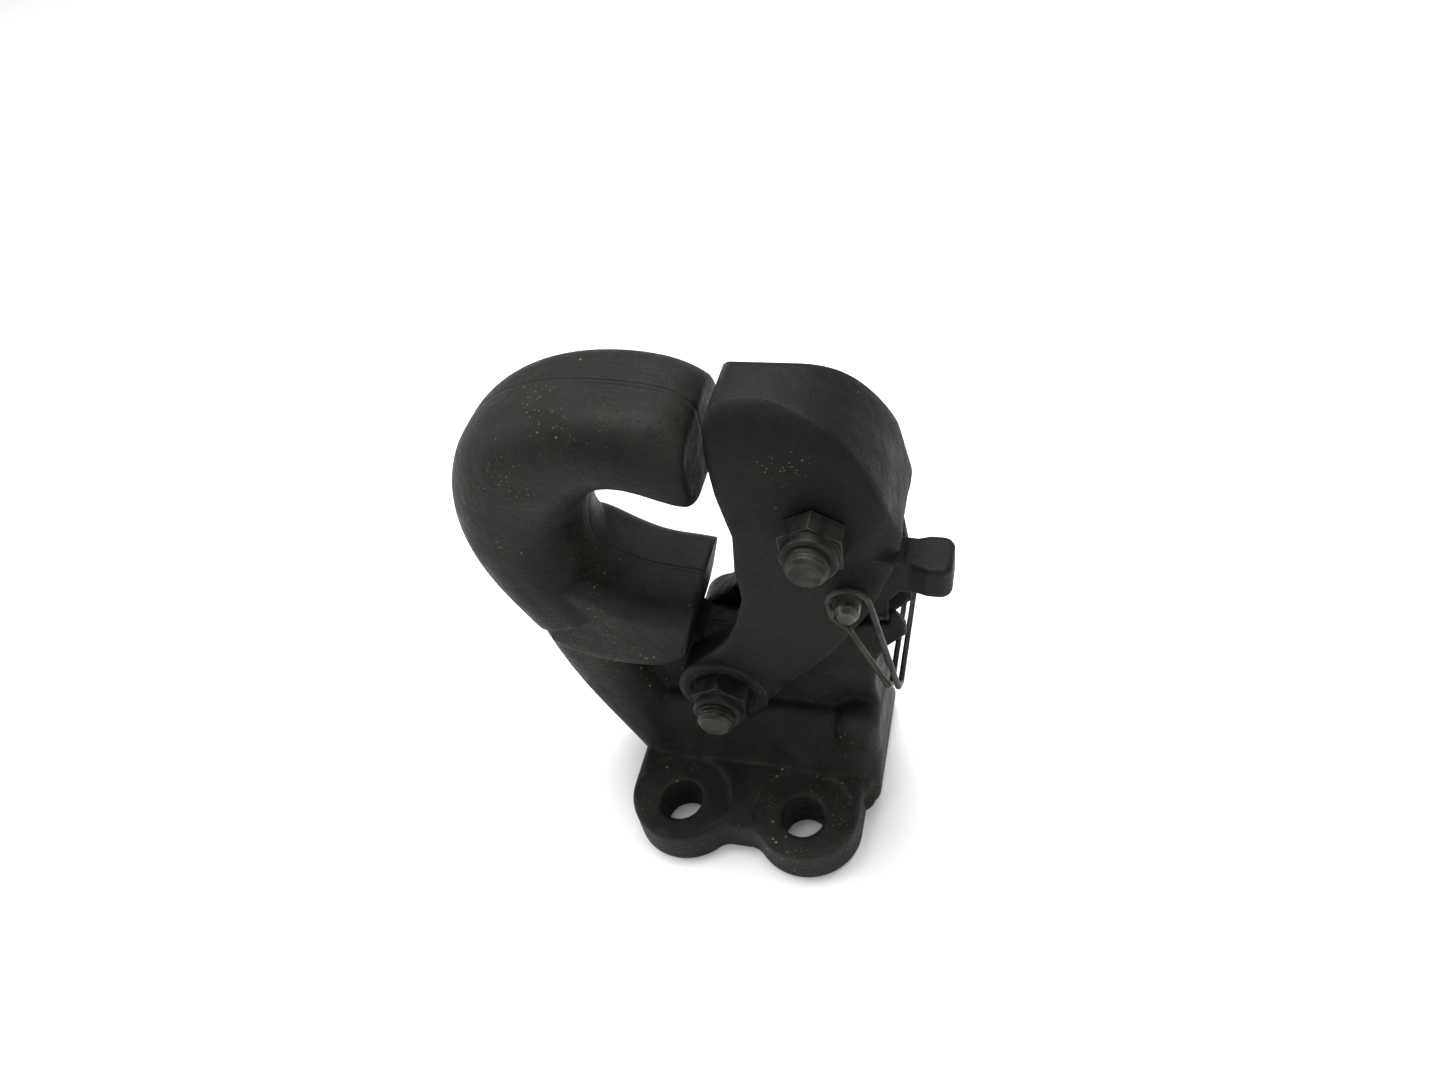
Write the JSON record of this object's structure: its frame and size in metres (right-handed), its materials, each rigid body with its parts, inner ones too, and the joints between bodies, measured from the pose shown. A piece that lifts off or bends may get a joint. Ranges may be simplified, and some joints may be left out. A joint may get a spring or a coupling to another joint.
{
  "type": "pintle hook",
  "caption": "Forged rigid-mount pintle hook: curved horn and saddle, swinging latch, lock lever with thumb tab, pivot bolts and a wire-bail safety pin.",
  "frame": {"origin": "centre of the four-bolt pattern on the mounting face", "axes": "+Z out of the mounting face towards the horn and latch, +X from the horn to the lock handle, +Y from the nuts to the bolt heads"},
  "size_m": [0.1653, 0.118, 0.1912],
  "materials": {
    "forging": "black matte coating over a forged skin",
    "forging_latch": "black matte coating over a forged skin",
    "forging_lock": "black matte coating over a forged skin",
    "bolt_steel": "black oxide, worn at the thread end",
    "nut_steel": "black oxide",
    "nylon": "dark nylon locking ring",
    "spring_steel": "spring wire",
    "pin_steel": "dark plated pin, bright where rubbed",
    "wire_steel": "dark spring wire"
  },
  "bodies": {
    "hook": {"hook_body": "forging", "pivot_bolt": "bolt_steel", "pivot_nut": "nut_steel", "pivot_nut_insert": "nylon"},
    "latch_group": {"latch": "forging_latch", "lock_bolt": "bolt_steel", "lock_nut": "nut_steel", "lock_nut_insert": "nylon", "lock_spring": "spring_steel"},
    "lock_group": {"lock_lever": "forging_lock"},
    "pin_group": {"safety_pin": "pin_steel", "wire_bail": "wire_steel"}
  },
  "joints": [
    {"name": "latch_hinge", "type": "hinge", "parent": "hook", "child": "latch_group", "pos_m": [-0.0052, 0, 0.0633], "axis": [0, 1, 0], "range_deg": [0, 38]},
    {"name": "lock_hinge", "type": "hinge", "parent": "latch_group", "child": "lock_group", "pos_m": [0.0352, 0, 0.1489], "axis": [0, -1, 0], "range_deg": [0, 16], "stiffness_Nm_per_rad": 0.12, "springref_deg": -20.05},
    {"name": "pin_slide", "type": "slide", "parent": "latch_group", "child": "pin_group", "axis": [0, 1, 0], "range_m": [0, 0.004]}
  ]
}
